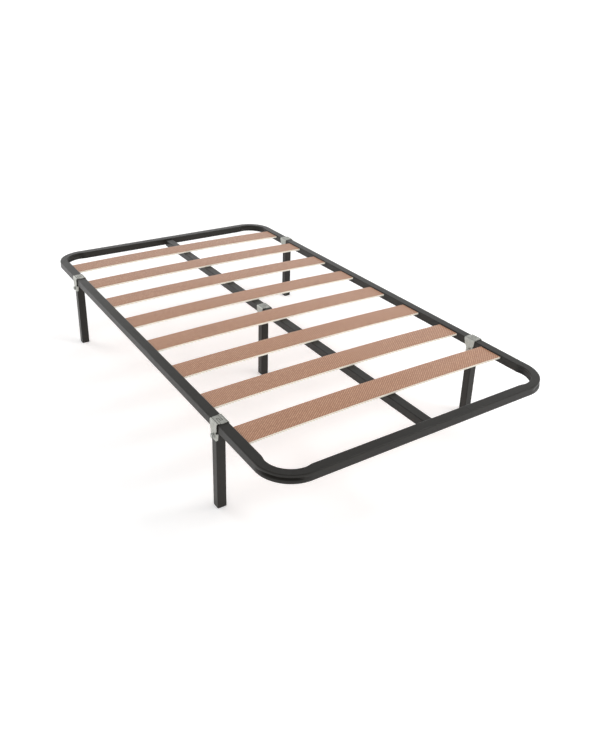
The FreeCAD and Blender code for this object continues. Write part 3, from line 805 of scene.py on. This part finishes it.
def hole_outline(run, slot):
    """Round or drawn-out bolt hole."""
    points = []
    for step in range(HOLE_SEGMENTS):
        angle = 2 * math.pi * step / HOLE_SEGMENTS
        shift = math.copysign(slot, math.cos(angle))
        points.append(Vector((run + shift + HOLE_RADIUS * math.cos(angle),
                              HOLE_RADIUS * math.sin(angle))))
    return points


def crease(run):
    """Pressed line along the fold."""
    return -CREASE_DEPTH * math.exp(-((run - SADDLE_RUN + CREASE_OFFSET) / CREASE_HALF) ** 2)


def emboss_outer(run, y):
    """The line and a shallow swage down the plate."""
    swage = smoothstep(5.0, 3.4, abs(y - SWAGE_Y)) * smoothstep(run_at(4), run_at(8), run)
    return crease(run) + SWAGE_DEPTH * swage * smoothstep(run_at(36), run_at(32), run)


def emboss_inner(run, y):
    """The line and three ribs down the plate."""
    ribs = sum(smoothstep(2.6, 1.4, abs(y - centre)) for centre in RIB_PLACES)
    return crease(run) + RIB_DEPTH * ribs * smoothstep(run_at(3), run_at(7), run) * smoothstep(
        run_at(26), run_at(23), run)


def jaw_sheet(profile, extra, slot, emboss, flange_top, saddle, hand):
    """Vertices and triangles of a jaw's middle surface, in millimetres about the leg's axis."""
    outline = jaw_outline(extra, flange_top, saddle, hand)
    hole = hole_outline(run_at(BOLT_DROP, extra), slot)
    total = run_at(LOBE_BOTTOM, extra)
    verts = outline + hole
    edges = [(i, (i + 1) % len(outline)) for i in range(len(outline))]
    first = len(outline)
    edges += [(first + i, first + (i + 1) % len(hole)) for i in range(len(hole))]
    runs = sorted(profile.breaks() + spread(MESH_START, total, 44) +
                  spread(SADDLE_RUN - CREASE_OFFSET - 2 * CREASE_HALF,
                         SADDLE_RUN - CREASE_OFFSET + 2 * CREASE_HALF, 8))
    runs = [r for i, r in enumerate(runs) if i == 0 or r - runs[i - 1] > MESH_MERGE]
    for run in runs:
        edges.append((len(verts), len(verts) + 1))
        verts += [Vector((run, -MESH_HALF)), Vector((run, MESH_HALF))]
    flange_end = FLAT_LOBE_HALF + FLANGE_RADIUS * math.pi / 2
    rows = spread(-FLAT_LOBE_HALF, FLAT_LOBE_HALF, 30)
    for sign in (-1, 1):
        rows += [sign * y for y in spread(FLAT_LOBE_HALF, flange_end, 6)[1:]]
        rows += [sign * y for y in spread(flange_end, INNER_SADDLE_HALF + 1.0, 4)[1:]]
    for y in rows:
        edges.append((len(verts), len(verts) + 1))
        verts += [Vector((-MESH_MARGIN, y)), Vector((total + MESH_MARGIN, y))]
    points, _, triangles, *_ = delaunay_2d_cdt(verts, edges, [], 0, 1e-4)
    kept = []
    for triangle in triangles:
        centre = sum((points[v] for v in triangle), Vector((0.0, 0.0))) / len(triangle)
        if inside_outline(centre, outline) and not inside_outline(centre, hole):
            kept.append(tuple(triangle))
    placed = []
    for point in points:
        x, z, inward_x, inward_z = profile.at(point.x)
        push = -emboss(point.x, point.y)
        y = point.y
        past = abs(y) - FLAT_LOBE_HALF
        if point.x > flange_top - RELIEF / 2 and past > 0:
            angle = min(past / FLANGE_RADIUS, math.pi / 2)
            rest = max(0.0, past - FLANGE_RADIUS * math.pi / 2)
            y = math.copysign(FLAT_LOBE_HALF + FLANGE_RADIUS * math.sin(angle), y)
            push += FLANGE_RADIUS * (1.0 - math.cos(angle)) + rest
        placed.append(Vector((x + inward_x * push, y * hand, z + inward_z * push)))
    return placed, kept


def leg_frame(place):
    """Matrix from the leg's own millimetres, outboard at -X, to the bed's metres."""
    low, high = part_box("leg_tube_" + place)
    jaw_low, jaw_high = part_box("outer_jaw_" + place)
    axis = (low + high) / 2
    outward = 1 if (jaw_low.x + jaw_high.x) / 2 > axis.x else -1
    rail_top = jaw_high.z - (SHEET + OVER_RAIL) * MM
    turn = Matrix.Rotation(math.pi, 4, "Z") if outward > 0 else Matrix.Identity(4)
    return Matrix.Translation((axis.x, axis.y, rail_top)) @ turn @ Matrix.Scale(MM, 4)


def thicken(piece):
    """Gives a sheet its thickness and rolled edges."""
    solid = piece.modifiers.new("sheet", "SOLIDIFY")
    solid.thickness = SHEET * MM
    solid.offset = 0.0
    solid.use_even_offset = True
    bevel = piece.modifiers.new("edges", "BEVEL")
    bevel.width = SHEET_EDGE * MM
    bevel.segments = 2
    bevel.limit_method = "ANGLE"
    bevel.angle_limit = math.radians(50)


def clamps(sheet, line):
    """Both jaws of every leg's clamp, the line beside each fold in a darker material of painted shade.
    """
    outer = jaw_sheet(outer_profile(), 0.0, HOLE_SLOT, emboss_outer, run_at(OUTER_FLANGE_TOP),
                      OUTER_SADDLE_HALF, 1)
    inner = jaw_sheet(inner_profile(), JOGGLE_EXTRA, 0.0, emboss_inner,
                      run_at(JOGGLE_START + JOGGLE_HEIGHT, JOGGLE_EXTRA), INNER_SADDLE_HALF, -1)
    inner = ([Vector((-v.x, v.y, v.z)) for v in inner[0]], inner[1])
    for place in PLACES:
        matrix = leg_frame(place)
        back = matrix.inverted()
        for kind, body, (verts, faces), fold_x in (
                ("outer_jaw_", "jaw_", outer, OUTER_PLATE_X + FOLD_MIDDLE_RADIUS),
                ("inner_jaw_", "leg_", inner, INNER_PLATE_X - FOLD_MIDDLE_RADIUS)):
            line_x = fold_x - math.copysign(CREASE_OFFSET, fold_x)
            placed = [matrix @ v for v in verts]

            # Faces along the pressed line take the darker material: painted shade in the crease.
            def in_painted_shade_line(face, line_x=line_x, back=back):
                spot = back @ face.calc_center_median()
                return int(spot.z > 0 and abs(spot.x - line_x) < CREASE_HALF)

            used = sorted({v for face in faces for v in face})
            order = {v: i for i, v in enumerate(used)}
            piece = add_piece(kind + place + "_pressed", [placed[v] for v in used],
                              [tuple(order[v] for v in face) for face in faces], [sheet, line],
                              body + place, [kind + place], pick=in_painted_shade_line)
            thicken(piece)


# ---- fasteners -------------------------------------------------------------------------------

def hex_radius(angle):
    """Distance from the axis to a hexagon's side."""
    folded = (angle % (math.pi / 3)) - math.pi / 6
    return HEX_FLATS / 2 / math.cos(folded)


def hex_ring(x, chamfer_side):
    """Ring round a hexagon; chamfered towards chamfer_side by a 30 degree cone."""
    ring = []
    for step in range(HEX_SEGMENTS):
        angle = 2 * math.pi * step / HEX_SEGMENTS
        radius = hex_radius(angle)
        drop = (radius - HEX_FLATS / 2 * HEX_CHAMFER) * math.tan(math.radians(30))
        ring.append((x - chamfer_side * drop, radius * math.cos(angle), radius * math.sin(angle)))
    return ring


def round_ring(x, radius, lead=None):
    """Ring round the axis. lead winds a thread: it is the ring's place along the helix."""
    ring = []
    for step in range(HEX_SEGMENTS):
        angle = 2 * math.pi * step / HEX_SEGMENTS
        own = radius
        if lead is not None:
            phase = (lead - angle / (2 * math.pi)) % 1.0
            own -= THREAD_DEPTH * (1.0 - abs(2.0 * phase - 1.0))
        ring.append((x, own * math.cos(angle), own * math.sin(angle)))
    return ring


def lathe(rings, closed):
    """Vertices and side faces of stacked rings, the last joined to the first or both left open."""
    verts = [v for ring in rings for v in ring]
    return verts, grid_faces(len(rings), HEX_SEGMENTS, closed_rings=closed)


def fastener_matrix(place, node):
    """Matrix from a fastener's own metres to the bed's, its axis on the CAD piece's."""
    low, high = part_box(node)
    frame_of_leg = leg_frame(place)
    turn = Matrix.Rotation(math.pi, 4, "Z") if frame_of_leg[0][0] < 0 else Matrix.Identity(4)
    axis = frame_of_leg.translation
    return Matrix.Translation((axis.x, (low.y + high.y) / 2, (low.z + high.z) / 2)) @ turn


def ends_about_axis(place, node):
    """Outboard and inboard end of a CAD piece, as -X to +X about the leg's axis."""
    low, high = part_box(node)
    matrix = leg_frame(place)
    ends = [(x - matrix.translation.x) * (-1 if matrix[0][0] < 0 else 1) for x in (low.x, high.x)]
    return min(ends), max(ends)


def clamp_bolt(place, material):
    """Hexagon bolt: chamfered head, washer face, plain shank and thread."""
    node = "clamp_bolt_" + place
    start, end = ends_about_axis(place, node)
    seat = start + HEAD_HEIGHT
    rings = [round_ring(start + 0.25 * MM, 0.2 * MM), round_ring(start + 0.25 * MM, 3.6 * MM),
             round_ring(start, 4.2 * MM), round_ring(start, HEX_FLATS / 2 * HEX_CHAMFER),
             hex_ring(start, -1), hex_ring(seat - HEAD_STEP, 0),
             round_ring(seat - HEAD_STEP, HEX_FLATS / 2 * 0.94),
             round_ring(seat, HEX_FLATS / 2 * 0.92), round_ring(seat, BOLT_RADIUS + 0.15 * MM),
             round_ring(seat + HEAD_STEP, BOLT_RADIUS), round_ring(THREAD_START, BOLT_RADIUS)]
    thread_rings = int((end - 0.8 * MM - THREAD_START) / THREAD_PITCH * THREAD_STEPS)
    for step in range(1, thread_rings + 1):
        x = THREAD_START + THREAD_PITCH * step / THREAD_STEPS
        rings.append(round_ring(x, BOLT_RADIUS, step / THREAD_STEPS))
    rings.append(round_ring(end, BOLT_RADIUS - 0.9 * MM))
    rings.append(round_ring(end, 0.2 * MM))
    verts, faces = lathe(rings, closed=False)
    faces.append(tuple(range(HEX_SEGMENTS)))
    faces.append(tuple(range(len(verts) - HEX_SEGMENTS, len(verts))))
    matrix = fastener_matrix(place, node)
    add_piece(node + "_threaded", [matrix @ Vector(v) for v in verts], faces, [material],
              "bolt_" + place, [node], sharp=25.0)


def clamp_nut(place, material):
    """Hexagon nut, chamfered on both sides and countersunk."""
    node = "clamp_nut_" + place
    start, end = ends_about_axis(place, node)
    land = HEX_FLATS / 2 * HEX_CHAMFER
    rings = [round_ring(start + NUT_SINK, NUT_BORE), round_ring(start, NUT_BORE + NUT_SINK),
             round_ring(start, land), hex_ring(start, -1), hex_ring(end, 1), round_ring(end, land),
             round_ring(end, NUT_BORE + NUT_SINK), round_ring(end - NUT_SINK, NUT_BORE)]
    verts, faces = lathe(rings, closed=True)
    matrix = fastener_matrix(place, node)
    add_piece(node + "_hex", [matrix @ Vector(v) for v in verts], faces, [material],
              "leg_" + place, [node], sharp=25.0)


def clamp_washer(place, material):
    """Punched washer: rolled rim on one side, sharp burr side on the other."""
    node = "clamp_washer_" + place
    start, end = ends_about_axis(place, node)
    low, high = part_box(node)
    outer = (high.z - low.z) / 2
    inner = WASHER_BORE
    ease = WASHER_EASE
    burr = WASHER_EASE * 0.3
    rings = [round_ring(start, inner + ease), round_ring(start, outer - ease),
             round_ring(start + burr, outer - burr), round_ring(start + ease, outer),
             round_ring(end - burr, outer), round_ring(end, outer - burr),
             round_ring(end, inner + burr), round_ring(end - burr, inner),
             round_ring(start + ease, inner)]
    verts, faces = lathe(rings, closed=True)
    matrix = fastener_matrix(place, node)
    add_piece(node + "_punched", [matrix @ Vector(v) for v in verts], faces, [material],
              "washer_" + place, [node], sharp=40.0)


# ---- carried-over nodes, studio and camera -----------------------------------------------------

def dress(node, material):
    """Gives a CAD node its material."""
    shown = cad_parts[node]
    shown.data.materials.clear()
    shown.data.materials.append(material)


def studio_world():
    """Surroundings: white near the horizon, dimmer overhead. Colours are shown unaltered."""
    world = bpy.data.worlds.new("studio")
    world.use_nodes = True
    tree = world.node_tree
    direction = tree.nodes.new("ShaderNodeTexCoord")
    split = tree.nodes.new("ShaderNodeSeparateXYZ")
    fade = tree.nodes.new("ShaderNodeMapRange")
    for socket, value in (("From Min", 0.28), ("From Max", 0.56), ("To Min", 1.5), ("To Max", 0.25)):
        fade.inputs[socket].default_value = value
    background = tree.nodes["Background"]
    background.inputs["Color"].default_value = (1.0, 1.0, 1.0, 1.0)
    tree.links.new(direction.outputs["Generated"], split.inputs["Vector"])
    tree.links.new(split.outputs["Z"], fade.inputs["Value"])
    tree.links.new(fade.outputs["Result"], background.inputs["Strength"])
    bpy.context.scene.world = world
    bpy.context.scene.view_settings.view_transform = "Standard"


def studio_floor():
    """Wide pale floor, faintly lit of itself so that its shadows stay light."""
    mesh = bpy.data.meshes.new("floor")
    corners = [(x * FLOOR_HALF, y * FLOOR_HALF, 0) for x, y in ((-1, -1), (1, -1), (1, 1), (-1, 1))]
    mesh.from_pydata(corners, [], [(0, 1, 2, 3)])
    floor = bpy.data.objects.new("floor", mesh)
    mesh.materials.append(floor_paint())
    bpy.context.scene.collection.objects.link(floor)


def studio_lamps():
    """Large soft lamps; the two key lamps are where the rails' rounded edges reflect them."""
    lamps = [("overhead", (0.4, 0.4, 3.4), 3.2, 22.0), ("front", (-2.4, -3.0, 1.6), 2.4, 12.0),
             ("foot_key", (1.8, -1.4, 2.7), 1.3, 36.0), ("left_key", (-1.6, 3.0, 2.0), 1.3, 23.0)]
    for name, place, width, power in lamps:
        data = bpy.data.lights.new(name, "AREA")
        data.shape = "SQUARE"
        data.size = width
        data.energy = power
        lamp = bpy.data.objects.new(name, data)
        lamp.location = place
        lamp.rotation_euler = (Vector((0, 0, 0.2)) - Vector(place)).to_track_quat("-Z", "Y").to_euler()
        bpy.context.scene.collection.objects.link(lamp)


def camera():
    """Camera at the picture's angle, from above the foot end's left corner."""
    azimuth = math.radians(CAMERA_AZIMUTH)
    elevation = math.radians(CAMERA_ELEVATION)
    back = Vector((math.sin(azimuth) * math.cos(elevation), -math.cos(azimuth) * math.cos(elevation),
                   math.sin(elevation)))
    right = Vector((0, 0, 1)).cross(back).normalized()
    upward = back.cross(right)
    turn = Matrix.Rotation(math.radians(CAMERA_ROLL), 3, back)
    right = turn @ right
    upward = turn @ upward
    data = bpy.data.cameras.new("camera")
    data.lens = CAMERA_LENS
    data.shift_y = CAMERA_SHIFT_Y
    data.clip_start = 0.01
    data.clip_end = 100.0
    seen_from = bpy.data.objects.new("camera", data)
    place = Vector((0, 0, CAMERA_AIM_HEIGHT)) + back * CAMERA_DISTANCE
    place += right * CAMERA_SLIDE[0] + upward * CAMERA_SLIDE[1]
    axes = Matrix((right, upward, back)).transposed().to_4x4()
    seen_from.matrix_world = Matrix.Translation(place) @ axes
    bpy.context.scene.collection.objects.link(seen_from)
    bpy.context.scene.camera = seen_from


# ---- the bed ---------------------------------------------------------------------------------

camera()
studio_world()
studio_floor()
studio_lamps()

coat = powder_coat()
weld = weld_coat()
film = slat_film()
plies = [ply_edge("ply_long", srgb(240, 234, 220), srgb(252, 249, 242)),
         ply_edge("ply_cross", srgb(198, 190, 170), srgb(224, 217, 200))]
sheet_zinc = zinc("sheet_zinc", srgb(148, 149, 143), srgb(196, 197, 190), 260.0, (0.27, 0.45))
fastener_zinc = zinc("fastener_zinc", srgb(166, 168, 166), srgb(216, 218, 214), 700.0, (0.18, 0.34))
sleeve_plastic = plastic("sleeve_plastic", srgb(24, 24, 24), srgb(36, 36, 35))
foot_plastic = plastic("foot_plastic", srgb(30, 29, 28), srgb(44, 43, 41))

perimeter_tube(coat)
perimeter_weld(weld)
bar_weld(-1, weld)
bar_weld(1, weld)
dress("centre_bar", coat)
for number in range(1, SLAT_COUNT + 1):
    slat(number, film, plies)
    dress("slat_sleeves_%d" % number, sleeve_plastic)
# The clamps' pressed lines are darkened with painted shade.
clamps(sheet_zinc, painted_shade_line())
for place in PLACES:
    clamp_bolt(place, fastener_zinc)
    clamp_nut(place, fastener_zinc)
    clamp_washer(place, fastener_zinc)
    dress("leg_tube_" + place, coat)
    dress("foot_cap_" + place, foot_plastic)
